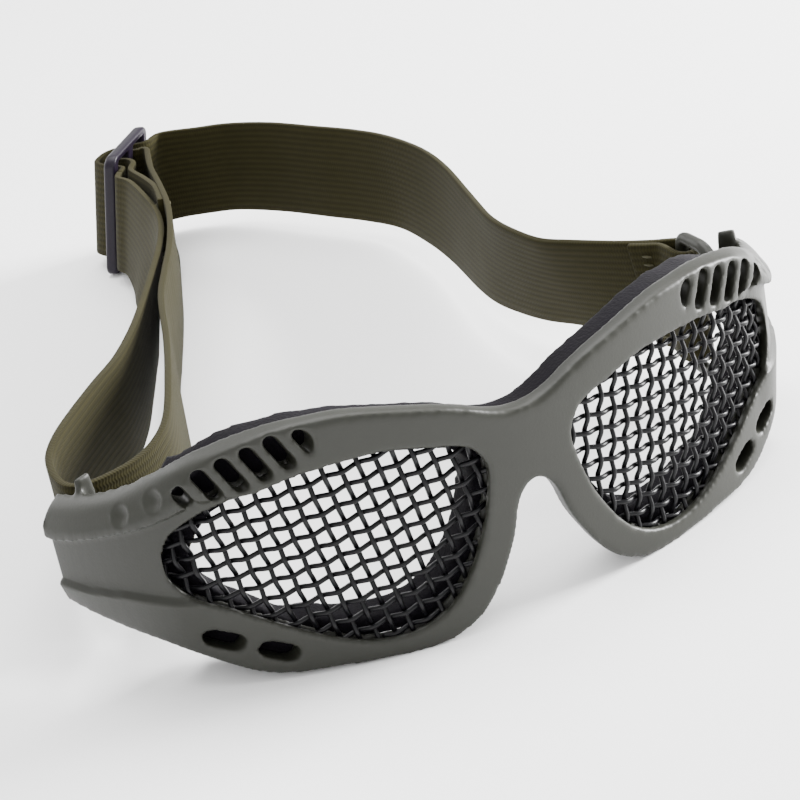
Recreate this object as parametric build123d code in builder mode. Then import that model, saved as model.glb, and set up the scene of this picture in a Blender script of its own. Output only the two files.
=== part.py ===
from build123d import *
import os
from math import cos, radians, sin, tan

# Mesh safety goggles. Z is up, the wearer looks along -Y, and X runs across the face.
# While the pieces are made, the origin is the middle of the face at the foot of the frame,
# and at the end everything moves so that the origin is under the middle of the whole object.
# Lengths are in millimetres and angles in degrees.

# Face shell, seen from above: three arcs that bend back towards the temples
face_radius = 124.0
corner_radius = 25.0
temple_radius = 90.0
face_turn = 32.0
corner_turn = 20.0
temple_turn = 19.6
wall = 4.5
band_rise = 2.0
band_root = 1.0
frame_height = 56.0

# Woven wire lenses, and the groove in the frame that holds their edges
wire = 1.1
wire_pitch = 3.5
weave_lean = 10.8
weave_middle_share = (0.467, 0.5)
weave_across = 22
weave_up = 17
groove_depth = 2.2
groove_reach = 1.8
fit_gap = 0.1
least_gap = 0.8

# Vents through the brow, dimples beside them, and slots low in the cheeks
vent_count = 4
vent_length = 8.4
vent_width = 2.7
vent_angle = 64.5
end_vent_length = 6.4
end_vent_width = 2.6
end_vent_step = 0.8
dimple_radius = 2.4
dimple_depth = 0.6
dimple_turns = (50.8, 56.3)
dimple_height_shares = (0.797, 0.722)
cheek_slot_length = 7.6
cheek_slot_width = 3.8
cheek_slot_angle = 24.5

# Strap loop, strap hook and pegs moulded on the inside of the temples
bar_radius = 1.6
bar_side = 73.0
bar_back = 58.0
loop_bend = 2.4
loop_front = 9.0
loop_foot_front = 5.0
loop_root = 24.0
loop_rise_share = 0.54
loop_drop_share = 0.32
hook_drop = 7.0
peg_width = 1.5
peg_reach = 4.5
peg_sunk = 0.6
peg_top = 43.3
peg_foot = 24.0
peg_turn = 66.5

# Foam face seal behind the frame
foam_depth = 9.0
foam_inset = 3.0
foam_turn = 2.5
glue_gap = 0.1

# Elastic webbing
web_width = 28.0
web = 1.6
web_gap = 0.3
anchor_lift = 9.5
loop_room = 0.8
swing_limit = 6.0
strap_reach = 262.0
level_from = 165.0
slope_from = 78.0
web_bend = 5.0
bend_share = 0.45
temple_room_share = 0.924
stitch_pitch = 2.4
stitch_length = 3.2
stitch_size = 0.8
stitch_proud = 0.3
stitch_margin = 3.0
anchor_stitch_share = 0.25
slider_stitch_share = 0.35

# Slider on the webbing, a plate with a bar between two slots
slider_width = 27.0
slider_height = 36.0
slider_thickness = 2.4
slider_bar = 3.5
slider_centre_bar = 4.0
slider_corner = 3.0
slider_end = 2.5
slider_edge = 0.7
slider_x = 4.4
slider_y = 254.5
slider_heading = 48.4
slide_travel = 4.0
cut = 400.0

# Sizes that follow
corner_rad = radians(face_turn)
temple_rad = radians(face_turn + corner_turn)
tip_rad = radians(face_turn + corner_turn + temple_turn)
corner_x = face_radius * sin(corner_rad)
temple_x = corner_x + corner_radius * (sin(temple_rad) - sin(corner_rad))
half_span = temple_x + temple_radius * (sin(tip_rad) - sin(temple_rad))
groove_width = wire + 2 * fit_gap
strap_lift = (slider_height - web_width) / 2
swing_room = web_width / 2 * sin(radians(swing_limit)) + web_gap
bar_gap = bar_radius + web_gap
bar_slack = bar_radius + swing_room

# Outlines seen from the front: shares of half_span across and of frame_height up
brow_shares = [
    (0, 0.815), (0.069, 0.835), (0.146, 0.888), (0.266, 0.945), (0.392, 0.991), (0.526, 1.0),
    (0.654, 0.963), (0.767, 0.891), (0.856, 0.782), (0.944, 0.695), (1.051, 0.6),
]
cheek_shares = [
    (0, 0.525), (0.036, 0.49), (0.069, 0.36), (0.108, 0.23), (0.185, 0.071), (0.263, 0.01),
    (0.392, 0), (0.554, 0.014), (0.687, 0.04), (0.768, 0.107), (0.865, 0.184), (0.946, 0.23), (1.051, 0.31),
]
lens_shares = [
    (0.111, 0.607), (0.141, 0.416), (0.185, 0.271), (0.237, 0.161), (0.302, 0.095), (0.381, 0.073),
    (0.467, 0.095), (0.565, 0.166), (0.658, 0.253), (0.741, 0.332), (0.8, 0.389), (0.829, 0.473),
    (0.827, 0.561), (0.799, 0.646), (0.736, 0.714), (0.649, 0.761), (0.543, 0.804), (0.427, 0.818),
    (0.323, 0.813), (0.219, 0.771), (0.148, 0.73),
]
eye_shares = [
    (0.131, 0.62), (0.152, 0.43), (0.202, 0.29), (0.253, 0.2), (0.313, 0.15), (0.404, 0.135), (0.505, 0.165),
    (0.607, 0.23), (0.687, 0.3), (0.738, 0.38), (0.758, 0.48), (0.753, 0.58), (0.718, 0.67), (0.647, 0.72),
    (0.536, 0.76), (0.425, 0.775), (0.323, 0.765), (0.222, 0.73), (0.157, 0.69),
]
band_edge_shares = [
    (0.744, 0.771), (0.813, 0.719), (0.881, 0.656), (0.93, 0.614), (0.981, 0.565), (1.051, 0.535),
]
vent_start_share = (0.716, 0.832)
vent_step_share = (-0.053, 0.025)
cheek_slot_shares = [(0.645, 0.118), (0.750, 0.193)]

# Routes of the webbing from above: shares of half_span across and of strap_reach back
rear_band_shares = [
    (0.707, 0.315), (0.656, 0.382), (0.644, 0.450), (0.695, 0.538), (0.750, 0.628),
    (0.769, 0.691), (0.759, 0.756), (0.658, 0.838), (0.540, 0.920), (0.436, 0.962), (0.317, 0.992),
]
long_run_shares = [
    (-0.099, 0.847), (-0.084, 0.775), (-0.182, 0.683), (-0.323, 0.580), (-0.441, 0.492),
    (-0.541, 0.437), (-0.634, 0.400), (-0.753, 0.347), (-0.838, 0.313),
]
return_run_shares = [
    (-0.733, 0.205), (-0.604, 0.265), (-0.493, 0.355), (-0.387, 0.450), (-0.289, 0.550),
    (-0.142, 0.672), (-0.032, 0.782), (-0.053, 0.847),
]


def front(share):
    """A place on the face, seen from the front."""
    return (share[0] * half_span, share[1] * frame_height)


def above(share):
    """A place on the webbing's route, seen from above."""
    return (share[0] * half_span, share[1] * strap_reach)


def on_slider(along, out):
    """A place seen from above, given along the slider and out from its outer face."""
    heading = radians(slider_heading)
    x = slider_x + along * cos(heading) - out * sin(heading)
    y = slider_y + along * sin(heading) + out * cos(heading)
    return (x, y)


def on_temple(turn, depth):
    """A place seen from above on the temple, at a heading and a depth behind the outer face."""
    corner_y = face_radius * (1 - cos(corner_rad))
    temple_y = corner_y + corner_radius * (cos(corner_rad) - cos(temple_rad))
    angle = radians(turn)
    x = temple_x + temple_radius * (sin(angle) - sin(temple_rad)) - depth * sin(angle)
    y = temple_y + temple_radius * (cos(temple_rad) - cos(angle)) + depth * cos(angle)
    return (x, y)


def layer(outer_depth, inner_depth, last_turn):
    """Plan of one layer of the face shell, between two depths behind its outer face."""
    ends = []
    with BuildSketch() as plan:
        with BuildLine():
            for depth in (outer_depth, inner_depth):
                face = JernArc((0, depth), (1, 0), face_radius - depth, face_turn)
                corner = JernArc(face @ 1, face % 1, corner_radius - depth, corner_turn)
                temple = JernArc(corner @ 1, corner % 1, temple_radius - depth, last_turn)
                ends.append(temple @ 1)
            Line(ends[0], ends[1])
            Line((0, outer_depth), (0, inner_depth))
        make_face()
        mirror(about=Plane.YZ)
    return plan.sketch


def raised_layer():
    """Plan of the brow band: flush at the nose, and proud of the shell from the corner on."""
    proud_x = corner_x + band_rise * sin(corner_rad)
    proud_y = face_radius * (1 - cos(corner_rad)) - band_rise * cos(corner_rad)
    brow_radius = (proud_x**2 + proud_y**2) / (2 * proud_y)
    brow_turn = Vector(brow_radius, 0).get_angle(Vector(brow_radius - proud_y, proud_x))
    corner_gain = sin(temple_rad) - sin(radians(brow_turn))
    bend = (temple_x + band_rise * sin(temple_rad) - proud_x) / corner_gain
    with BuildSketch() as plan:
        with BuildLine():
            brow = JernArc((0, 0), (1, 0), brow_radius, brow_turn)
            corner = JernArc(brow @ 1, brow % 1, bend, face_turn + corner_turn - brow_turn)
            temple = JernArc(corner @ 1, corner % 1, temple_radius + band_rise, temple_turn)
            root = JernArc((0, band_root), (1, 0), face_radius - band_root, face_turn)
            root_corner = JernArc(root @ 1, root % 1, corner_radius - band_root, corner_turn)
            inner = JernArc(root_corner @ 1, root_corner % 1, temple_radius - band_root, temple_turn)
            Line(temple @ 1, inner @ 1)
            Line((0, 0), (0, band_root))
        make_face()
        mirror(about=Plane.YZ)
    return plan.sketch


def both_sides(places):
    """Places from the middle outwards, with their mirror images before them."""
    return [Vector(-place.X, place.Y) for place in places[:0:-1]] + places


def frame_outline(inset):
    """Outline of the frame from the front, drawn in by a length."""
    brow_places = [Vector(*front(share)) - Vector(0, inset) for share in brow_shares]
    cheek_places = [Vector(*front(share)) + Vector(inset, inset) for share in cheek_shares]
    cheek_places[0] = Vector(0, cheek_places[0].Y)
    with BuildSketch() as outline:
        with BuildLine():
            brow = Spline(*both_sides(brow_places))
            cheek = Spline(*both_sides(cheek_places))
            Line(brow @ 0, cheek @ 0)
            Line(brow @ 1, cheek @ 1)
        make_face()
    return outline.sketch


def opening(shares, grow):
    """Outline of the opening for the eye on the +X side, grown by a length."""
    places = [Vector(*front(share)) for share in shares]
    grown = []
    for before, place, after in zip(places[-1:] + places, places, places[1:] + places[:1]):
        run = after - before
        grown.append(place + Vector(run.Y, -run.X).normalized() * grow)
    with BuildSketch() as outline:
        with BuildLine():
            Spline(*grown, periodic=True)
        make_face()
    return outline.sketch


def easy_bends(points):
    """For each corner of a route, the largest bend that its two runs leave room for."""
    places = [Vector(*point) for point in points]
    bends = []
    for before, corner, after in zip(places, places[1:], places[2:]):
        run_in = corner - before
        run_out = after - corner
        half_turn = radians(run_in.get_angle(run_out)) / 2
        bends.append(bend_share * min(run_in.length, run_out.length) / tan(half_turn))
    return bends


def ribbon(points, thickness, bend=None):
    """Plan of a flat strap that stands on edge along a route."""
    with BuildLine() as route:
        if len(points) > 2:
            FilletPolyline(*points, radius=bend or easy_bends(points))
        else:
            Line(*points)
    with BuildSketch() as plan:
        for side in (Side.LEFT, Side.RIGHT):
            with BuildLine():
                add(route.line)
                offset(amount=thickness / 2, side=side)
            make_face()
    return plan.sketch


def bent_rod(places):
    """A round rod that follows places seen from the side, in the plane of the strap bar."""
    with BuildPart() as bent:
        with BuildLine(Plane.YZ.offset(bar_side)) as path:
            FilletPolyline(*places, radius=loop_bend)
        with BuildSketch(path.line ^ 0):
            Circle(bar_radius)
        sweep()
    return bent.part


# Brow band, raised over the shell
with BuildPart() as brow_band:
    with BuildSketch():
        add(raised_layer())
    extrude(amount=frame_height)
    with BuildSketch(Plane.XZ):
        with BuildLine():
            edge = Spline(*[front(share) for share in band_edge_shares])
            sill = Line((0, (edge @ 0).Y), edge @ 0)
            side = Line(edge @ 1, ((edge @ 1).X, 2 * frame_height))
            lid = Line(side @ 1, (0, 2 * frame_height))
            Line(lid @ 1, sill @ 0)
        make_face()
        mirror(about=Plane.YZ)
    extrude(amount=cut, both=True, mode=Mode.INTERSECT)

# Groove round each lens
with BuildPart() as groove:
    with BuildSketch():
        add(layer(groove_depth, groove_depth + groove_width, temple_turn))
    extrude(amount=frame_height)
    with BuildSketch(Plane.XZ):
        add(opening(lens_shares, groove_reach))
        mirror(about=Plane.YZ)
    extrude(amount=cut, both=True, mode=Mode.INTERSECT)

# Strap loop and hook: the strap bar stands between two arms on the +X side, and on the -X side
# it rises from the lower arm alone, so that the webbing can be slipped off it
loop_top = anchor_lift + web_width + loop_room + bar_radius
loop_foot = anchor_lift - loop_room - bar_radius
upper_arm = [
    (bar_back - loop_root, loop_rise_share * frame_height),
    (bar_back - loop_front, loop_top),
    (bar_back, loop_top),
]
hook_tip = [(bar_back, loop_top - hook_drop)]
lower_arm = [
    (bar_back, loop_foot),
    (bar_back - loop_foot_front, loop_foot),
    (bar_back - loop_root, loop_drop_share * frame_height),
]
strap_loop = bent_rod(upper_arm + lower_arm)
strap_hook = bent_rod(hook_tip + lower_arm)

# Half-moon vent that ends each row
with BuildSketch() as half_moon:
    with BuildLine():
        ThreePointArc((-end_vent_length / 2, 0), (0, -end_vent_width), (end_vent_length / 2, 0))
        Line((end_vent_length / 2, 0), (-end_vent_length / 2, 0))
    make_face()

# Frame
with BuildPart() as frame:
    with BuildSketch():
        add(layer(0, wall, temple_turn))
    extrude(amount=frame_height)
    add(brow_band.part)
    with BuildSketch(Plane.XZ):
        add(frame_outline(0))
    extrude(amount=cut, both=True, mode=Mode.INTERSECT)
    with BuildSketch(Plane.XZ):
        add(opening(lens_shares, 0))
        for number in range(vent_count):
            with Locations(front([a + number * b for a, b in zip(vent_start_share, vent_step_share)])):
                SlotOverall(vent_length, vent_width, rotation=vent_angle)
        outer_end = front([a - end_vent_step * b for a, b in zip(vent_start_share, vent_step_share)])
        last_step = vent_count - 1 + end_vent_step
        inner_end = front([a + last_step * b for a, b in zip(vent_start_share, vent_step_share)])
        with Locations(outer_end):
            add(half_moon.sketch, rotation=vent_angle)
        with Locations(inner_end):
            add(half_moon.sketch, rotation=vent_angle + 180)
        with Locations(*[front(share) for share in cheek_slot_shares]):
            SlotOverall(cheek_slot_length, cheek_slot_width, rotation=cheek_slot_angle)
        mirror(about=Plane.YZ)
    extrude(amount=cut, both=True, mode=Mode.SUBTRACT)
    add(groove.part, mode=Mode.SUBTRACT)
    for turn, share in zip(dimple_turns, dimple_height_shares):
        place = on_temple(turn, -band_rise)
        outward = (sin(radians(turn)), -cos(radians(turn)), 0)
        for side in (1, -1):
            origin = (side * place[0], place[1], share * frame_height)
            with BuildSketch(Plane(origin=origin, z_dir=(side * outward[0], outward[1], 0))):
                Circle(dimple_radius)
            extrude(amount=dimple_depth, both=True, mode=Mode.SUBTRACT)
    with BuildSketch(Plane.XY.offset(peg_foot)):
        with Locations(on_temple(peg_turn, wall + peg_reach / 2 - peg_sunk)):
            Rectangle(peg_width, peg_reach, rotation=peg_turn)
        mirror(about=Plane.YZ)
    extrude(amount=peg_top - peg_foot)
    add(strap_loop)
    mirror(strap_hook, about=Plane.YZ)

# Woven wire lens on the +X side: one curved sheet with a gap between each pair of wires
with BuildSketch() as gaps:
    middle = front(weave_middle_share)
    with BuildSketch(mode=Mode.PRIVATE) as squares:
        with Locations(Location((middle[0], middle[1], 0), -weave_lean)):
            with GridLocations(wire_pitch, wire_pitch, weave_across, weave_up):
                Rectangle(wire_pitch - wire, wire_pitch - wire)
    add(squares.sketch)
    add(opening(lens_shares, groove_reach - wire), mode=Mode.INTERSECT)

with BuildPart() as left_lens_mesh:
    with BuildSketch():
        add(layer(groove_depth + fit_gap, groove_depth + fit_gap + wire, temple_turn))
    extrude(amount=frame_height)
    with BuildSketch(Plane.XZ):
        add(opening(lens_shares, groove_reach - fit_gap))
    extrude(amount=cut, both=True, mode=Mode.INTERSECT)
    with BuildSketch(Plane.XZ):
        add([face for face in gaps.sketch.faces() if face.area > least_gap])
    extrude(amount=cut, both=True, mode=Mode.SUBTRACT)

with BuildPart() as right_lens_mesh:
    mirror(left_lens_mesh.part, about=Plane.YZ)

# Foam face seal, glued behind the frame round both eyes
with BuildPart() as face_foam:
    with BuildSketch():
        add(layer(wall + glue_gap, wall + glue_gap + foam_depth, foam_turn))
    extrude(amount=frame_height)
    with BuildSketch(Plane.XZ):
        add(frame_outline(foam_inset))
        add(opening(eye_shares, 0), mode=Mode.SUBTRACT)
        mirror(opening(eye_shares, 0), about=Plane.YZ, mode=Mode.SUBTRACT)
    extrude(amount=cut, both=True, mode=Mode.INTERSECT)

# Slider
with BuildPart() as slider:
    heading = radians(slider_heading)
    face_plane = Plane(
        origin=(slider_x, slider_y, slider_height / 2),
        x_dir=(cos(heading), sin(heading), 0),
        z_dir=(-sin(heading), cos(heading), 0),
    )
    slot_width = (slider_width - slider_centre_bar) / 2 - slider_bar
    with BuildSketch(face_plane):
        RectangleRounded(slider_width, slider_height, slider_corner)
        with GridLocations(slider_centre_bar + slot_width, 0, 2, 1):
            RectangleRounded(slot_width, slider_height - 2 * slider_end, slider_edge, mode=Mode.SUBTRACT)
    extrude(amount=slider_thickness / 2, both=True)
    fillet(slider.edges(), radius=slider_edge)

# Webbing that weaves through the slider: under the far bar, over the middle one, under the near one
over = slider_thickness / 2 + 2 * web_gap + web * 1.5
under = -(slider_thickness / 2 + web_gap + web / 2)
far_edge = slider_width / 2 - slider_bar
half_pass = slider_width / 2 + slide_travel
with BuildPart() as strap_slider_pass:
    weave = [
        on_slider(half_pass, under),
        on_slider(far_edge - web / 2, under),
        on_slider(slider_centre_bar / 2 + web_gap + web, over),
        on_slider(-slider_centre_bar / 2 - web_gap - web, over),
        on_slider(-far_edge + web / 2, under),
        on_slider(-half_pass, under),
    ]
    with BuildSketch(Plane.XY.offset(strap_lift)):
        add(ribbon(weave, web, web))
    extrude(amount=web_width)

# Sewn end of the webbing, looped round the slider's middle bar, with the start of its return run
ring_along = slider_centre_bar + 2 * web_gap
ring_out = slider_thickness + 2 * web_gap
tail_under = under - web - 3 * web_gap
with BuildPart() as strap_sewn_end:
    tail = [
        on_slider(0, under),
        on_slider(-far_edge, tail_under),
        on_slider(-half_pass, tail_under),
    ]
    with BuildSketch(Plane.XY.offset(strap_lift)):
        with Locations(Location((slider_x, slider_y, 0), slider_heading)):
            RectangleRounded(ring_along + 2 * web, ring_out + 2 * web, web + web_gap)
            RectangleRounded(ring_along, ring_out, web_gap, mode=Mode.SUBTRACT)
        add(ribbon(tail, web, web_bend))
    extrude(amount=web_width)

# Side view of the strap: level at the back, and rising to the strap bars
with BuildSketch() as strap_side:
    with BuildLine():
        Polyline(
            (0, anchor_lift),
            (slope_from, anchor_lift),
            (level_from, strap_lift),
            (2 * strap_reach, strap_lift),
            (2 * strap_reach, strap_lift + web_width),
            (level_from, strap_lift + web_width),
            (slope_from, anchor_lift + web_width),
            (0, anchor_lift + web_width),
            close=True,
        )
    make_face()

# Front loop of the strap: out along the side, round the bar on the -X side, and back
side_x = -temple_room_share * half_span
turn_y = bar_back - bar_slack - web / 2
with BuildPart() as strap_front_loop:
    loop_route = [on_slider(-half_pass - glue_gap, under), on_slider(-half_pass - web_bend, under)]
    loop_route += [above(share) for share in long_run_shares]
    loop_route += [(side_x, bar_back + bar_slack), (side_x, turn_y), above(return_run_shares[0])]
    loop_route += [above(share) for share in return_run_shares[1:]]
    for beyond in (web_bend, glue_gap):
        loop_route += [on_slider(-half_pass - beyond, tail_under)]
    with BuildSketch():
        add(ribbon(loop_route, web))
    extrude(amount=2 * web_width)
    with BuildSketch(Plane.YZ):
        add(strap_side.sketch)
    extrude(amount=cut, both=True, mode=Mode.INTERSECT)

# Rear band of the strap: a sewn loop round the bar on the +X side, then round the head
with BuildPart() as strap_rear_band:
    start = (bar_side, bar_back + bar_slack + web / 2)
    rear_route = [start]
    rear_route += [above(share) for share in rear_band_shares]
    rear_route += [on_slider(half_pass + beyond, under) for beyond in (web_bend, glue_gap)]
    with BuildSketch():
        add(ribbon(rear_route, web))
        add(ribbon(rear_route[:2], 2 * web))
        with Locations((bar_side, bar_back)):
            SlotOverall(2 * (bar_slack + web), 2 * (bar_gap + web), rotation=90)
            SlotOverall(2 * bar_slack, 2 * bar_gap, rotation=90, mode=Mode.SUBTRACT)
    extrude(amount=2 * web_width)
    with BuildSketch(Plane.YZ):
        add(strap_side.sketch)
    extrude(amount=cut, both=True, mode=Mode.INTERSECT)


def stitches(first, second, share, lift, face):
    """A row of stitches up the webbing, on both faces of the run between two places."""
    run = Vector(*second) - Vector(*first)
    place = Vector(*first) + run * share
    across = Vector(run.Y, -run.X).normalized()
    count = int((web_width - 2 * stitch_margin) / stitch_pitch) + 1
    with BuildPart() as row:
        for side in (1, -1):
            origin = Vector(place.X, place.Y, lift + web_width / 2) + across * side * face
            with BuildSketch(Plane(origin=origin, x_dir=run, z_dir=across * side)):
                with GridLocations(stitch_length, stitch_pitch, 1, count):
                    SlotOverall(stitch_length, stitch_size)
            extrude(amount=stitch_proud)
    return row.part


pieces = {
    "frame": frame.part,
    "left_lens_mesh": left_lens_mesh.part,
    "right_lens_mesh": right_lens_mesh.part,
    "face_foam": face_foam.part,
    "strap_rear_band": strap_rear_band.part,
    "strap_front_loop": strap_front_loop.part,
    "strap_slider_pass": strap_slider_pass.part,
    "strap_sewn_end": strap_sewn_end.part,
    "slider": slider.part,
    "anchor_stitching": stitches(rear_route[0], rear_route[1], anchor_stitch_share, anchor_lift, web),
    "slider_stitching": stitches(tail[1], tail[2], slider_stitch_share, strap_lift, web / 2),
}

# Everything moves so that the origin is under the middle of the whole object
whole = Compound(list(pieces.values())).bounding_box()
middle = whole.center()
os.makedirs("parts", exist_ok=True)
for name, piece in pieces.items():
    placed = piece.moved(Location((-middle.X, -middle.Y, -whole.min.Z)))
    placed.label = name
    export_step(placed, f"parts/{name}.step")
    print(name, len(placed.solids()), round(placed.volume))
print("front of the face at y", round(-middle.Y, 3), "half span", round(half_span, 3))
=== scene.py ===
# %% [markdown]
# Mesh safety goggles. The real object is a moulded wraparound frame with two woven wire lenses,
# a ring of foam against the face, and one length of elastic webbing that a slider adjusts.
# The solid model gives each piece its size and place. This lesson dresses it in real surfaces.

# %% Load the solid model
from math import atan2, cos, degrees, hypot, pi, radians, sin, sqrt

import bmesh
import bpy
from mathutils import Matrix, Vector, noise


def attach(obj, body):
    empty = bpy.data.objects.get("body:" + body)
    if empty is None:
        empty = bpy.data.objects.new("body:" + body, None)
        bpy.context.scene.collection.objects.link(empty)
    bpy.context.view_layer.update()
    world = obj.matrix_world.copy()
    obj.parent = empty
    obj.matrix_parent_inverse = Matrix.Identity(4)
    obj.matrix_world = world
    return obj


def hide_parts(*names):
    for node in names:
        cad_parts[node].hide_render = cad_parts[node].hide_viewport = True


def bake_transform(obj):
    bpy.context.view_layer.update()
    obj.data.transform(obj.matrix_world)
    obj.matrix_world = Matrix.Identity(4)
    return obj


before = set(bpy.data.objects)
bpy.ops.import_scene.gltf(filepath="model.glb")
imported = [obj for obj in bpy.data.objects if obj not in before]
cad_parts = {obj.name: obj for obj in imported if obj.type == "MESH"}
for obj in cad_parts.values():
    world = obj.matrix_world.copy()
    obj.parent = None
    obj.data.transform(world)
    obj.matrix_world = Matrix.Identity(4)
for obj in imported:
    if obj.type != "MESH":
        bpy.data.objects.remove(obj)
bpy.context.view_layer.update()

# %% [markdown]
# Sizes are written in millimetres from the middle of the face, at the foot of the frame, because
# that is how the face is drawn. One function turns such a place into Blender's metres. The solid
# model's origin is under the middle of the whole object, so the face lies in front of it.

# %% Places on the object
MM = 0.001
FACE_Y = -134.757


def place(x, y, z):
    """A place in metres, from millimetres measured at the middle of the face."""
    return Vector((x, y + FACE_Y, z)) * MM


def in_face(point):
    """Millimetres measured at the middle of the face, from a place in metres."""
    return point.x / MM, point.y / MM - FACE_Y, point.z / MM


print("middle of the face at", tuple(place(0, 0, 0)))

# %% [markdown]
# The photograph was taken a little to the wearer's right of the goggles and from above, with the
# camera rolled. A camera can be turned by angles, but its three axes are plainer here: they are
# written straight into its matrix.

# %% Camera
RIGHTWARD = Vector((0.8790, -0.4423, -0.1780)).normalized()
UPWARD = Vector((0.3414, 0.3232, 0.8826)).normalized()
BACKWARD = RIGHTWARD.cross(UPWARD)
CAMERA_SPOT = (-177.8, -383.0, 256.1)
FOCAL_LENGTH = 108
SENSOR_WIDTH = 36
lens = bpy.data.cameras.new("photo_camera")
lens.lens = FOCAL_LENGTH
lens.sensor_width = SENSOR_WIDTH
camera = bpy.data.objects.new("photo_camera", lens)
bpy.context.collection.objects.link(camera)
turn = Matrix((RIGHTWARD, UPWARD, BACKWARD)).transposed().to_4x4()
camera.matrix_world = Matrix.Translation(place(*CAMERA_SPOT)) @ turn
bpy.context.scene.camera = camera
print("camera at", tuple(round(n, 4) for n in camera.location))

# %% [markdown]
# A studio shot on white needs soft lights and a bright world. Large area lights give the broad
# highlights that satin plastic shows. The strongest one stands on the wearer's left, as the
# bright temple on that side asks.

# %% Lights
WORLD_STRENGTH = 1.4


def area_light(name, spot, aim, size, power):
    """A square soft light that looks from one place at another, in metres and watts."""
    data = bpy.data.lights.new(name, "AREA")
    data.size = size
    data.energy = power
    light = bpy.data.objects.new(name, data)
    light.location = spot
    light.rotation_euler = (Vector(aim) - Vector(spot)).to_track_quat("-Z", "Y").to_euler()
    bpy.context.collection.objects.link(light)


area_light("key_light", (0.95, -0.15, 0.36), (0.07, -0.08, 0.02), 0.45, 56)
area_light("top_light", (0.1, 0.2, 1.1), (0, 0, 0), 1.0, 24)
area_light("front_light", (-0.6, -1.0, 0.7), (0, -0.05, 0.02), 0.8, 3)
area_light("rear_light", (-0.5, 0.9, 0.5), (0, 0.05, 0.02), 0.6, 5)
world = bpy.data.worlds.new("studio")
world.use_nodes = True
background = world.node_tree.nodes["Background"].inputs
background["Color"].default_value = (1, 1, 1, 1)
background["Strength"].default_value = WORLD_STRENGTH
bpy.context.scene.world = world
print("lights", [thing.name for thing in bpy.data.lights])

# %% [markdown]
# Shader maths reads best as Python sums. A small class wraps one socket of a node tree and turns
# the operators into Math nodes. A finish is a material with one shader, and one method makes
# every other node from its type, its settings and what goes into its sockets.

# %% Shader maths


class Signal:
    """A socket that carries a number, a colour or a vector through a material."""

    def __init__(self, finish, socket):
        self.finish = finish
        self.socket = socket

    def maths(self, operation, *values):
        """A Math node on these values."""
        settings = {"operation": operation}
        return self.finish.node("ShaderNodeMath", settings, dict(enumerate(values)))

    def __add__(self, other):
        return self.maths("ADD", self, other)

    def __mul__(self, other):
        return self.maths("MULTIPLY", self, other)

    __radd__ = __add__
    __rmul__ = __mul__

    def wave(self):
        """A wave between 0 and 1 that repeats each time the number grows by 1."""
        return self.maths("SINE", self * (2 * pi)) * 0.5 + 0.5

    def between(self, low, high):
        """The number's share of the way from low to high, eased at both ends."""
        settings = {"interpolation_type": "SMOOTHSTEP"}
        return self.finish.node("ShaderNodeMapRange", settings, {0: self, 1: low, 2: high})


class Finish:
    """A material with one Principled shader."""

    def __init__(self, name, **fixed):
        self.material = bpy.data.materials.new(name)
        self.material.use_nodes = True
        self.tree = self.material.node_tree
        self.shader = self.tree.nodes["Principled BSDF"]
        for socket, value in fixed.items():
            self.shader.inputs[socket.replace("_", " ")].default_value = value

    def node(self, kind, settings, values, out=0):
        """A node of this type: settings first, then values or links for its sockets."""
        node = self.tree.nodes.new(kind)
        for key, value in settings.items():
            setattr(node, key, value)
        for key, value in values.items():
            self.put(node.inputs[key], value)
        return Signal(self, node.outputs[out])

    def put(self, socket, value):
        """Sets a socket to a number or colour, or links it."""
        if isinstance(value, Signal):
            self.tree.links.new(value.socket, socket)
        else:
            socket.default_value = value

    def coordinates(self, kind):
        """Object or UV coordinates."""
        return self.node("ShaderNodeTexCoord", {}, {}, kind)

    def part(self, vector, axis):
        """One axis of a vector."""
        return self.node("ShaderNodeSeparateXYZ", {}, {0: vector}, axis)

    def cloud(self, vector, per_mm, detail=2.0, rough=0.5):
        """Soft noise with this many blobs to the millimetre."""
        values = {"Vector": vector, "Scale": per_mm / MM, "Detail": detail, "Roughness": rough}
        return self.node("ShaderNodeTexNoise", {}, values)

    def blend(self, share, first, second):
        """A colour on the way from the first to the second."""
        first, second = (c if isinstance(c, Signal) else (*c, 1) for c in (first, second))
        return self.node("ShaderNodeMix", {"data_type": "RGBA"}, {0: share, 6: first, 7: second}, 2)

    def colour(self, share, first, second):
        """Gives the shader a colour on the way from the first to the second."""
        self.set("Base Color", self.blend(share, first, second))

    def relief(self, height, depth_mm, strength=1.0):
        """Bumps the surface by a height from 0 to 1, this many millimetres deep."""
        values = {"Height": height, "Distance": depth_mm * MM, "Strength": strength}
        self.put(self.shader.inputs["Normal"], self.node("ShaderNodeBump", {}, values))

    def set(self, socket, value):
        """Gives the shader a colour or number that varies over the surface."""
        self.put(self.shader.inputs[socket], value)


print("shader maths ready")

# %% [markdown]
# The frame is olive grey plastic with a satin moulded surface. Two clouds of noise do the work:
# a slow one shifts the colour a little, as moulded colour drifts, and a fine one roughens the
# skin. The wire is black coated steel, and its smooth crowns catch the light. The slider is dark
# plastic with a touch of violet.

# %% Hard finishes
frame_finish = Finish("olive_grey_plastic", Specular_IOR_Level=0.3)
spot = frame_finish.coordinates("Object")
drift = frame_finish.cloud(spot, 0.04, 3)
skin = frame_finish.cloud(spot, 1.6, 3, 0.6)
frame_finish.colour(drift, (0.0115, 0.0120, 0.0085), (0.0165, 0.0170, 0.0125))
frame_finish.set("Roughness", skin * 0.14 + drift * 0.1 + 0.32)
frame_finish.relief(skin, 0.05, 0.5)

wire_finish = Finish("black_coated_steel", Specular_IOR_Level=0.2)
spot = wire_finish.coordinates("Object")
chips = wire_finish.cloud(spot, 0.8, 4, 0.7)
wire_finish.colour(chips, (0.0010, 0.0010, 0.0014), (0.0035, 0.0032, 0.0042))
wire_finish.set("Roughness", chips * 0.25 + 0.22)
wire_finish.relief(chips, 0.06, 0.6)

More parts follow.
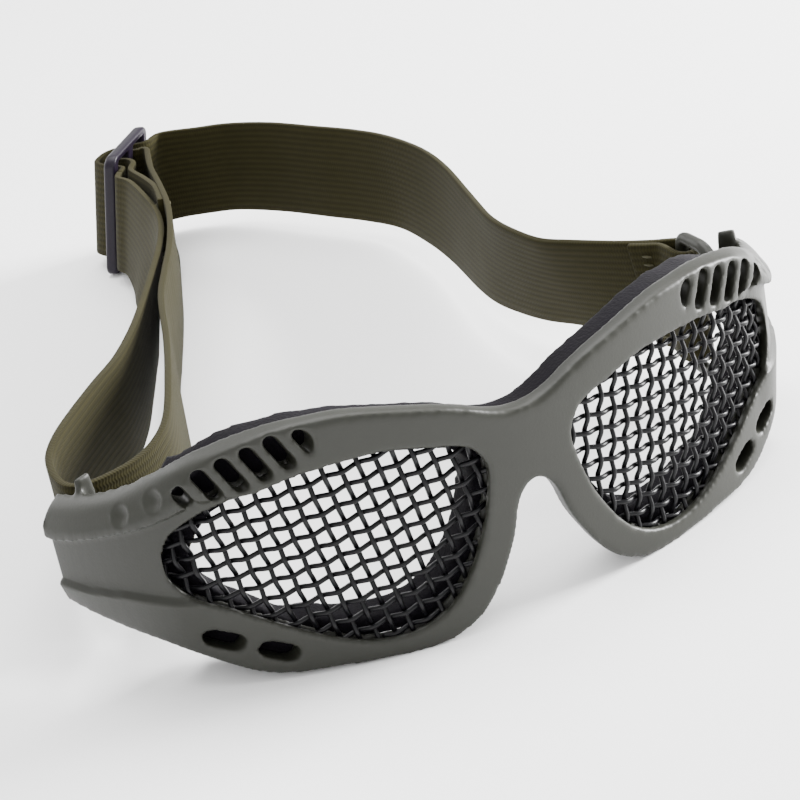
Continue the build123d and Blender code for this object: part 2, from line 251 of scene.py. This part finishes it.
slider_finish = Finish("dark_violet_plastic", Specular_IOR_Level=0.2)
spot = slider_finish.coordinates("Object")
skin = slider_finish.cloud(spot, 1.2, 3, 0.6)
slider_finish.colour(skin, (0.0040, 0.0022, 0.0060), (0.0080, 0.0048, 0.0115))
slider_finish.set("Roughness", skin * 0.2 + 0.28)
slider_finish.relief(skin, 0.06, 0.5)
print("hard finishes", [f.material.name for f in (frame_finish, wire_finish, slider_finish)])

# %% [markdown]
# Webbing is woven, and its pattern has to follow the band round every bend. So it reads the
# band's own UV map, which is kept in metres: u runs along the band and v across it. Raised ribs
# run lengthwise, fine picks cross them, and the grooves between are darkened as painted shade.
# The foam is pocked by small cells, and the thread is twisted and a little lighter than the webbing.

# %% Soft finishes
RIB_PITCH = 1.75
PICK_PITCH = 0.72
PICK_SHIFT = 0.35
web_finish = Finish(
    "olive_webbing", Specular_IOR_Level=0.08, Sheen_Weight=0.02, Sheen_Roughness=0.5
)
cloth = web_finish.coordinates("UV")
along = web_finish.part(cloth, 0)
across = web_finish.part(cloth, 1)
ribs = (across * (1 / (RIB_PITCH * MM))).wave()
picks = (along * (1 / (PICK_PITCH * MM)) + ribs * PICK_SHIFT).wave()
yarn = web_finish.cloud(cloth, 0.9, 4, 0.7)
worn = web_finish.cloud(cloth, 0.05, 2)
height = ribs * 0.4 + picks * 0.34 + yarn * 0.3
raised_web = web_finish.blend(worn, (0.0190, 0.0170, 0.0052), (0.0260, 0.0230, 0.0072))
# Painted shade: the low places of the weave, its grooves, get a darker colour than the raised yarn.
web_finish.colour(height.between(0.1, 0.95), (0.0120, 0.0105, 0.0034), raised_web)
web_finish.set("Roughness", yarn * 0.2 + 0.72)
web_finish.relief(height, 0.16, 0.8)

thread_finish = Finish("olive_thread", Specular_IOR_Level=0.3)
spot = thread_finish.coordinates("Object")
twist = thread_finish.cloud(spot, 2.5, 2)
thread_finish.colour(twist, (0.026, 0.024, 0.009), (0.055, 0.051, 0.021))
thread_finish.set("Roughness", twist * 0.2 + 0.55)
thread_finish.relief(twist, 0.08, 0.8)

foam_finish = Finish("black_foam", Specular_IOR_Level=0.08, Sheen_Weight=0.01, Sheen_Roughness=0.6)
spot = foam_finish.coordinates("Object")
cells = foam_finish.node("ShaderNodeTexVoronoi", {}, {"Vector": spot, "Scale": 1.5 / MM})
skin = foam_finish.cloud(spot, 0.25, 4, 0.6)
foam_finish.colour(skin, (0.0020, 0.0016, 0.0026), (0.0055, 0.0043, 0.0068))
foam_finish.set("Roughness", skin * 0.2 + 0.7)
foam_finish.relief(cells * 0.7 + skin * 0.6, 0.2, 0.7)
print("soft finishes", [f.material.name for f in (web_finish, thread_finish, foam_finish)])

# %% [markdown]
# Every piece needs the same closing steps: a mesh, an object at the origin, a finish, the body
# that it rides on, and the solid piece that it stands for.

# %% Helpers that finish a piece


def settle(piece):
    """Works a piece's modifiers into its mesh."""
    graph = bpy.context.evaluated_depsgraph_get()
    mesh = bpy.data.meshes.new_from_object(piece.evaluated_get(graph))
    piece.modifiers.clear()
    piece.data = mesh


def fill_mesh(mesh, bm):
    """Puts a bmesh into a mesh, shaded smooth."""
    bm.to_mesh(mesh)
    bm.free()
    mesh.polygons.foreach_set("use_smooth", [True] * len(mesh.polygons))


def new_piece(name, bm, finish):
    """An object made from a bmesh, with its finish."""
    mesh = bpy.data.meshes.new(name)
    fill_mesh(mesh, bm)
    mesh.materials.append(finish.material)
    piece = bpy.data.objects.new(name, mesh)
    bpy.context.collection.objects.link(piece)
    return piece


def solid_copy(node):
    """A bmesh of a solid piece with its loose triangles joined up."""
    bm = bmesh.new()
    bm.from_mesh(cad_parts[node].data)
    bmesh.ops.remove_doubles(bm, verts=bm.verts, dist=1e-6)
    return bm


def soften(bm, verts, rounds):
    """Evens out a patch of skin, which rounds its edges."""
    for _ in range(rounds):
        bmesh.ops.smooth_vert(
            bm, verts=verts, factor=0.5, use_axis_x=True, use_axis_y=True, use_axis_z=True
        )


def remould(name, node, finish, square_mm, rounds):
    """A solid's copy with its skin laid again in even squares and smoothed, and its bmesh."""
    piece = new_piece(name, solid_copy(node), finish)
    skin = piece.modifiers.new("skin", "REMESH")
    skin.mode = "VOXEL"
    skin.voxel_size = square_mm * MM
    settle(piece)
    bm = bmesh.new()
    bm.from_mesh(piece.data)
    soften(bm, bm.verts[:], rounds)
    return piece, bm


def rework(piece, bm):
    """Puts a reshaped bmesh back into its piece."""
    fill_mesh(piece.data, bm)
    print(piece.name, len(piece.data.polygons), "faces")


def table_value(table, x):
    """A value read between the rows of a table."""
    for (x0, y0), (x1, y1) in zip(table, table[1:]):
        if x <= x1:
            return y0 + (y1 - y0) * max(0.0, x - x0) / (x1 - x0)
    return table[-1][1]


def ease(low, high, x):
    """0 below low, 1 above high, and eased between."""
    t = min(max((x - low) / (high - low), 0.0), 1.0)
    return t * t * (3 - 2 * t)


# %% [markdown]
# The frame's front is a shell of three arcs, seen from above: a wide one across the face, a tight
# one at each corner and a flat one along each temple. A place on it is a distance along the
# middle layer and a depth behind the outer face. The lenses are woven flat in that map and bent
# with it, as a real lens is pressed.

# %% The shell's arcs
ARCS = [(124.0, 32.0), (25.0, 20.0), (90.0, 19.6)]
LENS_DEPTH = 2.85


def shell_arcs():
    """Radius, last heading and centre of each arc, from its radius and its turn in degrees."""
    turned, centre = 0.0, Vector((0.0, ARCS[0][0]))
    for (radius, turn), (next_radius, _) in zip(ARCS, ARCS[1:] + ARCS[-1:]):
        turned += radians(turn)
        yield radius, turned, centre
        centre = centre + Vector((sin(turned), -cos(turned))) * (radius - next_radius)


SHELL = list(shell_arcs())


def shell_place(x, y):
    """Heading of the shell's face at a place, and the depth of the place behind it."""
    for radius, turned, centre in SHELL:
        heading = atan2(x - centre.x, centre.y - y)
        if heading < turned:
            break
    return heading, radius - hypot(x - centre.x, centre.y - y)


def shell_spot(heading, depth):
    """x and y at a heading of the shell's face and a depth behind it."""
    for radius, turned, centre in SHELL:
        if heading < turned:
            break
    return centre.x + (radius - depth) * sin(heading), centre.y - (radius - depth) * cos(heading)


def shell_point(run, depth):
    """x and y at a distance along the lens layer from the middle, and a depth behind the face."""
    heading, left = 0.0, abs(run)
    for radius, turned, _ in SHELL:
        length = min(left, (radius - LENS_DEPTH) * (turned - heading))
        heading += length / (radius - LENS_DEPTH)
        left -= length
    x, y = shell_spot(heading, depth)
    return (-x if run < 0 else x), y


def run_to(x):
    """The distance along the lens layer at which the layer reaches x."""
    low, high = 0.0, LAYER_LENGTH
    for _ in range(30):
        middle = (low + high) / 2
        if shell_point(middle, LENS_DEPTH)[0] < x:
            low = middle
        else:
            high = middle
    return low


LAYER_LENGTH = sum((radius - LENS_DEPTH) * radians(turn) for radius, turn in ARCS)
print("each temple turns", round(degrees(SHELL[-1][1]), 1), "degrees away from the middle")

# %% [markdown]
# The frame starts as a copy of its solid, so its size, openings, vents and strap loops are right.
# A solid's edges are knife sharp, though, and moulded plastic has none. Laying its skin again in
# half millimetre squares and smoothing them rounds each edge in one go.
#
# Two forms are then drawn by moving its points. The brow band rolls over at the top of each
# temple, and below a sharp ridge a flange steps out and fades towards the foot. The solid's plain
# dimples are filled up, and shallow bowls are pressed in after the last smoothing, which would
# wear them away. Tables of x and height give the edges that these forms follow.

# %% Frame
BROW = [
    (0, 45.6), (12.6, 49.7), (23, 52.9), (34, 55.5), (45.5, 56), (56.7, 53.9), (66.5, 49.9),
    (74.2, 43.8), (81.8, 38.9), (91.1, 33.6),
]
BAND_EDGE = [(64.5, 43.2), (70.4, 40.3), (76.3, 36.7), (80.6, 34.4), (85.0, 31.6), (91.1, 30.0)]
RIDGE = [(60, 20.0), (69.8, 20.6), (78.5, 20.8), (84.3, 19.7), (91, 19.3)]
FOOT = [(59.6, 2.2), (66.6, 6.0), (75.0, 10.3), (82.0, 12.9), (91.1, 17.4)]
FRAME_SQUARE = 0.55
TEMPLE_START = 56
TEMPLE_END = 62
BAND_RISE = 2.0
ROLL = 5.0
ROLL_FULL = 72
FLANGE = 1.2
FLANGE_START = 63
FLANGE_FULL = 72
FLANGE_TOP = 22
FLANGE_BACK = 3
RIDGE_HALF = 0.3
BAND_EDGE_START = 62
BAND_EDGE_REACH = 1.8
BROW_EDGE_REACH = 1.8
BROW_SKIN_REACH = 3.4
CUT_DIMPLES = [(72.5, 21.9, 44.6), (77.8, 29.0, 40.4)]
CUT_REACH = 2.9
DIMPLES = [(71.3, 22.9, 43.8), (76.7, 29.7, 39.8)]
BOWL_WIDTH = 5.0
BOWL_DEPTH = 0.9


def nearest(spot, centres):
    """Distance from a place to the nearest of some centres."""
    return min((Vector(spot) - Vector(centre)).length for centre in centres)


def rolled(x, z, depth):
    """Height and depth of a place on a temple after the brow's edge is rolled over."""
    roll = ROLL * ease(TEMPLE_START, ROLL_FULL, x)
    in_side, in_top = roll - BAND_RISE - depth, roll - table_value(BROW, x) + z
    reach = hypot(in_side, in_top)
    if in_side > 0 and in_top > 0 and reach > roll:
        depth += in_side * (1 - roll / reach)
        z -= in_top * (1 - roll / reach)
    return z, depth


def flange(x, z):
    """How far the flange stands out at a place."""
    ridge, foot = table_value(RIDGE, x), table_value(FOOT, x)
    fade = min(1, max(0, (z - foot) / (ridge - foot)))
    below = 1 - ease(ridge - RIDGE_HALF, ridge + RIDGE_HALF, z)
    return FLANGE * ease(FLANGE_START, FLANGE_FULL, x) * fade * below


frame_piece, bm = remould("goggles_frame", "frame", frame_finish, FRAME_SQUARE, 3)
brow_edge, brow_skin, band_edge = [], [], []
for vert in bm.verts:
    x, y, z = in_face(vert.co)
    side = -1 if x < 0 else 1
    x = abs(x)
    if TEMPLE_START < x and y < TEMPLE_END:
        heading, depth = shell_place(x, y)
        if depth < -BAND_RISE * 0.45 and nearest((x, y, z), CUT_DIMPLES) < CUT_REACH:
            depth = -BAND_RISE
        z, depth = rolled(x, z, depth)
        if z < FLANGE_TOP and depth < FLANGE_BACK:
            depth -= flange(x, z)
        x, y = shell_spot(heading, depth)
        vert.co = place(side * x, y, z)
        on_band_edge = abs(z - table_value(BAND_EDGE, x)) < BAND_EDGE_REACH
        if on_band_edge and x > BAND_EDGE_START and depth < 1:
            band_edge.append(vert)
    if z > table_value(BROW, x) - BROW_SKIN_REACH and y < TEMPLE_END:
        brow_skin.append(vert)
        if z > table_value(BROW, x) - BROW_EDGE_REACH:
            brow_edge.append(vert)
soften(bm, brow_edge, 8)
soften(bm, brow_skin, 4)
soften(bm, band_edge, 9)
bm.normal_update()
for vert in bm.verts:
    x, y, z = in_face(vert.co)
    away = nearest((abs(x), y, z), DIMPLES)
    if away < BOWL_WIDTH / 2:
        vert.co -= vert.normal * BOWL_DEPTH * (1 - (2 * away / BOWL_WIDTH) ** 2) * MM
rework(frame_piece, bm)
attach(frame_piece, "goggles")
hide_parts("frame")

# %% [markdown]
# Each lens is a plain weave: every wire passes over one crossing wire and under the next, so it
# is crimped into a wave. One wire is a circle spun into a straight tube, and its points are then
# moved onto the wave and onto the shell. Only the part inside the opening and its groove is made.

# %% Woven lenses
WIRE = 1.1
WIRE_PITCH = 3.5
WIRE_LEAN = radians(10.8)
WIRE_SIDES = 7
STEPS_A_PITCH = 6
WIRE_NUMBERS = range(-12, 13)
HELD = 1.1
LENS_MIDDLE = (41.0, 27.5)
LENS_EDGE = [
    (9.6, 34.0), (12.2, 23.3), (16.0, 15.2), (20.5, 9.0), (26.2, 5.3), (33.0, 4.1), (40.5, 5.3),
    (49.0, 9.3), (57.0, 14.2), (64.2, 18.6), (69.3, 21.8), (71.8, 26.5), (71.6, 31.4), (69.2, 36.2),
    (63.8, 40.0), (56.2, 42.6), (47.0, 45.0), (37.0, 45.8), (28.0, 45.5), (19.0, 43.2), (12.8, 40.9),
]


def lens_outline():
    """The opening's edge in the flat map, with the part that the groove holds."""
    edge = [Vector((run_to(x), z)) for x, z in LENS_EDGE]
    middle = sum(edge, Vector((0, 0))) / len(edge)
    return [point + (point - middle).normalized() * HELD for point in edge]


def stretch_inside(outline, origin, along):
    """Where a straight line enters and leaves the outline, as distances from its origin."""
    hits = []
    out = Vector((-along.y, along.x))
    for first, second in zip(outline, outline[1:] + outline[:1]):
        a = (first - origin).dot(out)
        b = (second - origin).dot(out)
        if (a < 0) != (b < 0):
            spot = first + (second - first) * (a / (a - b))
            hits.append((spot - origin).dot(along))
    return (min(hits), max(hits)) if hits else None


def straight_tube(bm, length, steps):
    """A closed tube along Z, made by pulling a circle up in even steps."""
    bmesh.ops.create_circle(bm, cap_ends=True, segments=WIRE_SIDES, radius=WIRE / 2)
    bmesh.ops.spin(
        bm, geom=bm.edges[:] + bm.faces[:], cent=(0, 0, 0), axis=(0, 0, 1),
        dvec=(0, 0, length / steps), angle=0, steps=steps, use_merge=False, use_duplicate=False,
    )


def woven_lens(name, side):
    """One lens of crossing wires, on the +X or the -X side."""
    outline = lens_outline()
    middle = Vector((run_to(LENS_MIDDLE[0]), LENS_MIDDLE[1]))
    steep = Vector((sin(WIRE_LEAN), cos(WIRE_LEAN)))
    shallow = Vector((cos(WIRE_LEAN), -sin(WIRE_LEAN)))
    whole = bmesh.new()
    for along, sidestep, lift in ((steep, shallow, 1), (shallow, steep, -1)):
        for number in WIRE_NUMBERS:
            origin = middle + sidestep * (number * WIRE_PITCH)
            stretch = stretch_inside(outline, origin, along)
            if stretch is None or stretch[1] - stretch[0] < WIRE_PITCH:
                continue
            length = stretch[1] - stretch[0]
            wire = bmesh.new()
            straight_tube(wire, length, round(length / WIRE_PITCH * STEPS_A_PITCH))
            for vert in wire.verts:
                travelled = stretch[0] + vert.co.z
                flat = origin + along * travelled + sidestep * vert.co.x
                crest = lift * (-1) ** number * cos(pi * travelled / WIRE_PITCH)
                depth = LENS_DEPTH + crest * WIRE / 2 + vert.co.y
                x, y = shell_point(flat.x, depth)
                vert.co = place(side * x, y, flat.y)
            mesh = bpy.data.meshes.new("wire")
            wire.to_mesh(mesh)
            wire.free()
            whole.from_mesh(mesh)
            bpy.data.meshes.remove(mesh)
    bmesh.ops.recalc_face_normals(whole, faces=whole.faces)
    print(name, len(whole.faces), "faces")
    return new_piece(name, whole, wire_finish)


for name, side in (("left_lens_mesh", 1), ("right_lens_mesh", -1)):
    lens_piece = woven_lens(name + "_wires", side)
    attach(lens_piece, "goggles")
    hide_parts(name)

# %% [markdown]
# The foam behind the frame is cut from sheet, so its corners are soft and its faces uneven. A
# copy of its solid gets a new skin, is smoothed, and is pushed in and out a little by noise. Its
# ends drop behind the brow, and its lower edge hangs behind the cheek slots and closes them.

# %% Foam
FOAM_SQUARE = 0.9
END_DROP = 3.5
CHEEK_DROP = 2.4
UNEVEN = 0.08
LUMPS_A_METRE = 160

foam_piece, bm = remould("foam_seal", "face_foam", foam_finish, FOAM_SQUARE, 6)
bm.normal_update()
for vert in bm.verts:
    x, y, z = in_face(vert.co)
    lower = END_DROP * ease(52, 70, abs(x)) * ease(24, 38, z)
    lower += CHEEK_DROP * ease(46, 52, abs(x)) * (1 - ease(10, 16, z))
    vert.co += vert.normal * noise.noise(vert.co * LUMPS_A_METRE) * UNEVEN * MM
    vert.co.z -= lower * MM
rework(foam_piece, bm)
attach(foam_piece, "goggles")
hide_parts("face_foam")

# %% [markdown]
# The webbing is a flat band on edge. Its route is a table of places, with how far the top leans
# out for each millimetre of height, because webbing twists as it turns. A smooth curve runs
# through the rows, a grid is laid along it, and a solidify modifier gives the band its thickness.

# %% Helpers for the webbing
WEB_WIDTH = 28.0
WEB = 1.6
WEB_STEP = 1.4
ACROSS = 10
SELVAGE = 0.45
CURVE_STEPS = 20


def smooth_rows(rows):
    """Rows of numbers along a smooth curve through the given rows, evenly spaced."""
    rows = [Vector(row) for row in rows]
    rows = [rows[0] * 2 - rows[1]] + rows + [rows[-1] * 2 - rows[-2]]
    dense = []
    for a, b, c, d in zip(rows, rows[1:], rows[2:], rows[3:]):
        for step in range(CURVE_STEPS):
            t = step / CURVE_STEPS
            bend = (a * 2 - b * 5 + c * 4 - d) * t**2 + (b * 3 - a - c * 3 + d) * t**3
            dense.append((b * 2 + (c - a) * t + bend) / 2)
    dense.append(rows[-2])
    travelled = [0.0]
    for first, second in zip(dense, dense[1:]):
        travelled.append(travelled[-1] + hypot(second[0] - first[0], second[1] - first[1]))
    count = max(2, round(travelled[-1] / WEB_STEP))
    even = []
    at = 0
    for number in range(count + 1):
        target = travelled[-1] * number / count
        while at < len(travelled) - 2 and travelled[at + 1] < target:
            at += 1
        share = (target - travelled[at]) / max(travelled[at + 1] - travelled[at], 1e-9)
        even.append(dense[at].lerp(dense[at + 1], min(share, 1)))
    return even, travelled[-1]


def band(name, rows):
    """A webbing band on edge along rows of x, y, height of its middle, and lean in x and in y."""
    line, length = smooth_rows(rows)
    bm = bmesh.new()
    uv = bm.loops.layers.uv.new("UVMap")
    bmesh.ops.create_grid(
        bm, x_segments=len(line) - 1, y_segments=ACROSS, size=0.5, calc_uvs=True
    )
    for face in bm.faces:
        for loop in face.loops:
            co = loop.vert.co
            loop[uv].uv = ((co.x + 0.5) * length * MM, (co.y + 0.5) * WEB_WIDTH * MM)
    for vert in bm.verts:
        x, y, z, lean_x, lean_y = line[round((vert.co.x + 0.5) * (len(line) - 1))]
        up = vert.co.y * WEB_WIDTH
        rise = sqrt(max(0.1, 1 - lean_x**2 - lean_y**2))
        vert.co = place(x + lean_x * up, y + lean_y * up, z + rise * up)
    piece = new_piece(name, bm, web_finish)
    thick = piece.modifiers.new("thickness", "SOLIDIFY")
    thick.thickness = WEB * MM
    thick.offset = 0
    rounded = piece.modifiers.new("selvage", "BEVEL")
    rounded.width = SELVAGE * MM
    rounded.segments = 2
    rounded.limit_method = "ANGLE"
    settle(piece)
    print(name, "is", round(length), "mm long, of", len(piece.data.polygons), "faces")
    return piece, length


# %% [markdown]
# The slider stands at an angle on the webbing, so what passes through it is placed along it and
# out from it. The slider and the webbing in it lean alike: the lean is how far the top goes in x
# and in y for each millimetre of height.

# %% The slider's place
SLIDER_SPOT = (4.4, 254.5)
SLIDER_HEADING = radians(48.4)
SLIDER_MIDDLE = 18.0
SLIDER_LEAN = (0.193, -0.066)
BAR_SWELL = 1.5


def by_slider(along, out):
    """x and y at a distance along the slider and out from its outer face."""
    x = SLIDER_SPOT[0] + along * cos(SLIDER_HEADING) - out * sin(SLIDER_HEADING)
    y = SLIDER_SPOT[1] + along * sin(SLIDER_HEADING) + out * cos(SLIDER_HEADING)
    return x, y


def through_slider(*places):
    """Rows of a band at places by the slider, leaning as the slider does."""
    return [(*by_slider(along, out), SLIDER_MIDDLE, *SLIDER_LEAN) for along, out in places]


# %% [markdown]
# From the wearer's left, the band starts as a sewn loop round the strap bar, runs back round the
# head and weaves through the slider: behind the far bar, over the middle one and behind the near
# one.

# %% Rear band
rear_rows = [
    (67.6, 69.8, 23.5, -0.18, -0.05), (69.74, 66.06, 23.5, -0.12, -0.03),
    (70.7, 63.4, 23.5, -0.05, 0), (70.25, 60.2, 23.5, 0, 0), (70.25, 56.6, 23.5, 0, 0),
    (71.3, 54.4, 23.5, 0, 0), (73.0, 53.85, 23.5, 0, 0), (74.7, 54.4, 23.5, 0, 0),
    (75.75, 56.6, 23.5, 0, 0), (75.75, 60.2, 23.5, 0, 0), (74.6, 62.7, 23.5, -0.03, 0),
    (72.9, 65.0, 23.5, -0.08, -0.02), (71.26, 67.4, 23.5, -0.13, -0.04),
    (67.76, 73.4, 23.5, -0.22, -0.07), (61.9, 84, 23.3, -0.29, -0.08),
    (58.3, 94, 22.5, -0.31, -0.1), (56.6, 106, 21.4, -0.24, 0), (56.6, 118, 20.3, -0.15, 0),
    (58.0, 130, 19.3, -0.04, 0), (60.5, 143, 18.5, 0.02, 0), (64.9, 165, 18, 0.06, 0),
    (66.4, 182, 18, 0.06, 0), (65.2, 199, 18, 0, 0), (60.9, 212, 18, 0, 0),
    (54.6, 224.7, 18, 0, 0), (46.8, 240, 18, 0, -0.02), (38.0, 251.8, 18, 0, -0.1),
    (30.0, 257.4, 18, 0, -0.12), (23.6, 261.3, 18, 0.08, -0.11),
]
rear_rows += through_slider(
    (15.5, -4.6), (12.6, -3.6), (9.4, -2.6), (7.2, 2.4), (4.2, 6.6), (0, 7.9), (-4.2, 7.4),
    (-7.3, 3.2), (-9.4, -2.6), (-13.4, -3.3),
)
rear_band, rear_length = band("webbing_rear_band", rear_rows)
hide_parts("strap_rear_band", "strap_slider_pass")
rear_length * MM
place(57, 219, 18)
place(25, 262, 18)
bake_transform(rear_band)

# %% [markdown]
# On the other side the band goes forward to the strap hook, round it in a loose bend, and back to
# the slider. It goes round the middle bar there, and its end is sewn down flat on itself.

# %% Front loop
front_rows = through_slider((-13.4, -3.3), (-16.6, -3.8))
front_rows += [
    (-3.9, 237.5, 18, 0.2, -0.04), (-3.1, 232, 18, 0.23, -0.02), (-4.9, 219, 18, 0.31, 0),
    (-7.6, 206, 18, 0.4, 0), (-10.8, 192, 18, 0.34, 0), (-15.8, 178, 18, 0.26, 0),
    (-22.0, 165, 18.1, 0.22, 0), (-28.8, 151, 18.5, 0.18, 0), (-38.2, 132, 19.4, 0.12, 0),
    (-47.8, 115.6, 20.6, 0.08, 0), (-57.0, 103.4, 21.8, 0.05, 0), (-66.8, 90.6, 22.8, 0.04, 0),
    (-73.4, 80.8, 23.5, 0.02, 0), (-77.4, 73.4, 23.5, 0, 0), (-79.4, 67.0, 23.5, 0, 0),
    (-80.0, 61.4, 23.5, 0, 0), (-79.6, 56.8, 23.5, 0, 0), (-77.2, 54.0, 23.5, 0, 0),
    (-72.6, 53.6, 23.5, 0, 0), (-64.5, 55.8, 23.5, 0, 0), (-57.5, 61.2, 23.5, 0, 0),
    (-51.0, 71.0, 23.5, 0, 0), (-42.4, 93, 22.5, 0.02, 0), (-34.6, 115.6, 20.6, 0.04, 0),
    (-25.6, 144, 18.9, 0.07, 0), (-18.4, 161, 18.2, 0.09, 0), (-11.6, 176, 18, 0.12, 0),
    (-5.0, 192, 18, 0.12, 0), (0.0, 206, 18, 0.1, 0), (4.6, 221, 18, 0.03, 0),
    (8.9, 236, 18, -0.05, 0), (11.7, 247, 18, -0.03, -0.03), (12.2, 252.3, 18, 0.06, -0.05),
    (10.8, 255.2, 18, 0.14, -0.06),
]
front_rows += through_slider(
    (3.4, -2.2), (3.1, 0.6), (1.0, 2.4), (-1.4, 2.4), (-3.1, 0.8), (-3.6, -2.0), (-6.4, -4.8),
    (-12.0, -6.2),
)
front_rows += [(2.2, 231, 18, 0.12, -0.03), (2.3, 221, 18, 0.09, 0), (-0.6, 209.5, 18, 0.1, 0)]
front_loop, front_length = band("webbing_front_loop", front_rows)
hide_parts("strap_front_loop", "strap_sewn_end")
front_length * MM
place(-24, 158, 18)
place(-6, 206, 18)
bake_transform(front_loop)

# %% [markdown]
# The slider is moulded, with round bars. Its solid has the right shape but stands straight, so a
# copy of it is smoothed, which thins it, swollen to its real thickness, and leant over with its
# webbing.

# %% Slider
SLIDER_SQUARE = 0.3

slider_piece, bm = remould("strap_slider", "slider", slider_finish, SLIDER_SQUARE, 3)
for vert in bm.verts:
    x, y, z = in_face(vert.co)
    out = (y - SLIDER_SPOT[1]) * cos(SLIDER_HEADING) - (x - SLIDER_SPOT[0]) * sin(SLIDER_HEADING)
    x -= out * (BAR_SWELL - 1) * sin(SLIDER_HEADING)
    y += out * (BAR_SWELL - 1) * cos(SLIDER_HEADING)
    up = z - SLIDER_MIDDLE
    rise = sqrt(1 - SLIDER_LEAN[0] ** 2 - SLIDER_LEAN[1] ** 2)
    vert.co = place(x + SLIDER_LEAN[0] * up, y + SLIDER_LEAN[1] * up, SLIDER_MIDDLE + rise * up)
rework(slider_piece, bm)
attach(slider_piece, "slider")
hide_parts("slider")

# %% [markdown]
# Rows of stitches close the sewn loops, on both sides of the webbing. Each stitch is a small
# stretched ball that lies along the band. It has few faces, because there are dozens of them.

# %% Stitching
STITCH = (3.0, 0.7, 0.7)
STITCH_PITCH = 2.2
STITCH_NUMBERS = range(-5, 6)
ANCHOR_SPOT, ANCHOR_MIDDLE, ANCHOR_LEAN = (70.5, 66.5), 23.5, (-0.12, -0.03)
ANCHOR_HEADING = radians(120)
SEWN_SPOT, SEWN_LEAN = (1.2, 213.0), (0.1, 0)
SEWN_HEADING = radians(72)


def stitch_row(bm, spot, middle, lean, heading, out):
    """One row of stitches up a band, at a place, on the side that out points to."""
    run = Vector((cos(heading), sin(heading), 0))
    rise = sqrt(1 - lean[0] ** 2 - lean[1] ** 2)
    for number in STITCH_NUMBERS:
        up = number * STITCH_PITCH
        centre = place(spot[0] + lean[0] * up, spot[1] + lean[1] * up, middle + rise * up)
        centre += Vector((-run.y, run.x, 0)) * out * MM
        turned = Matrix.Rotation(heading, 4, "Z") @ Matrix.Diagonal((*STITCH, 1))
        bmesh.ops.create_icosphere(
            bm, subdivisions=1, radius=0.5 * MM, matrix=Matrix.Translation(centre) @ turned
        )


bm = bmesh.new()
for out in (-1.9, 1.9):
    stitch_row(bm, ANCHOR_SPOT, ANCHOR_MIDDLE, ANCHOR_LEAN, ANCHOR_HEADING, out)
anchor_stitches = new_piece("anchor_stitches", bm, thread_finish)
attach(anchor_stitches, "strap")
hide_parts("anchor_stitching")

bm = bmesh.new()
for out in (-1.8, 1.8):
    stitch_row(bm, SEWN_SPOT, SLIDER_MIDDLE, SEWN_LEAN, SEWN_HEADING, out)
slider_stitches = new_piece("slider_stitches", bm, thread_finish)
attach(slider_stitches, "slider")
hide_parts("slider_stitching")
print("stitches on", anchor_stitches.name, "and", slider_stitches.name)

# %% [markdown]
# The floor is one large pale plane, and it isn't part of the object.

# %% Floor
FLOOR_HALF = 4
floor_finish = Finish("pale_floor", Roughness=0.9)
clouding = floor_finish.cloud(floor_finish.coordinates("Object"), 0.002)
floor_finish.colour(clouding, (0.86, 0.86, 0.86), (0.9, 0.9, 0.9))
bm = bmesh.new()
bmesh.ops.create_grid(bm, x_segments=1, y_segments=1, size=FLOOR_HALF)
floor = new_piece("floor", bm, floor_finish)
